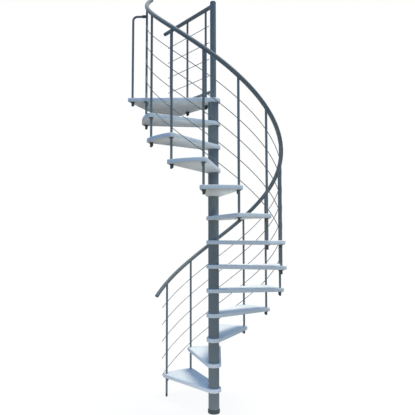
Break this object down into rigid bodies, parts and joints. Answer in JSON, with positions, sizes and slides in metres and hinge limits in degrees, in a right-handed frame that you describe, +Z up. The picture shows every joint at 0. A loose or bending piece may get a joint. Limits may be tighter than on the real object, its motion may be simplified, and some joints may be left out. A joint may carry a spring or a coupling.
{
  "type": "spiral staircase",
  "caption": "Spiral staircase that climbs clockwise: wedge treads on a slender column, thin balusters, helical handrail with infill rods, and a guarded wedge landing.",
  "frame": {"origin": "centre of the column's foot, on the floor", "axes": "+Z up along the column; +X to the right and +Y away from the viewer in the picture"},
  "size_m": [1.5383, 1.4, 4.1539],
  "materials": {
    "slate_paint": "satin powder coat",
    "dark_fittings": "matte",
    "white_lacquer": "satin lacquer"
  },
  "bodies": {
    "root": {"centre_pole": "slate_paint", "column_spacers": "slate_paint", "handrail": "slate_paint", "hoop_post": "slate_paint", "guard_rail": "slate_paint", "guard_foot_rail": "slate_paint", "guard_rods": "slate_paint", "baluster_01": "slate_paint", "baluster_02": "slate_paint", "baluster_03": "slate_paint", "baluster_04": "slate_paint", "baluster_05": "slate_paint", "baluster_06": "slate_paint", "baluster_07": "slate_paint", "baluster_08": "slate_paint", "baluster_09": "slate_paint", "baluster_10": "slate_paint", "baluster_11": "slate_paint", "baluster_12": "slate_paint", "baluster_13": "slate_paint", "rod_1": "slate_paint", "rod_2": "slate_paint", "rod_3": "slate_paint", "rod_4": "slate_paint", "rod_5": "slate_paint", "guard_post_1": "slate_paint", "guard_post_2": "slate_paint", "guard_post_3": "slate_paint", "base_ring": "dark_fittings", "pole_cap": "dark_fittings", "baluster_caps": "dark_fittings", "front_clamps": "dark_fittings", "back_clamps": "dark_fittings", "landing_clamps": "dark_fittings", "rail_caps": "dark_fittings", "hoop_sleeve": "dark_fittings", "landing": "white_lacquer", "tread_01": "white_lacquer", "tread_02": "white_lacquer", "tread_03": "white_lacquer", "tread_04": "white_lacquer", "tread_05": "white_lacquer", "tread_06": "white_lacquer", "tread_07": "white_lacquer", "tread_08": "white_lacquer", "tread_09": "white_lacquer", "tread_10": "white_lacquer", "tread_11": "white_lacquer", "tread_12": "white_lacquer"}
  },
  "joints": []
}
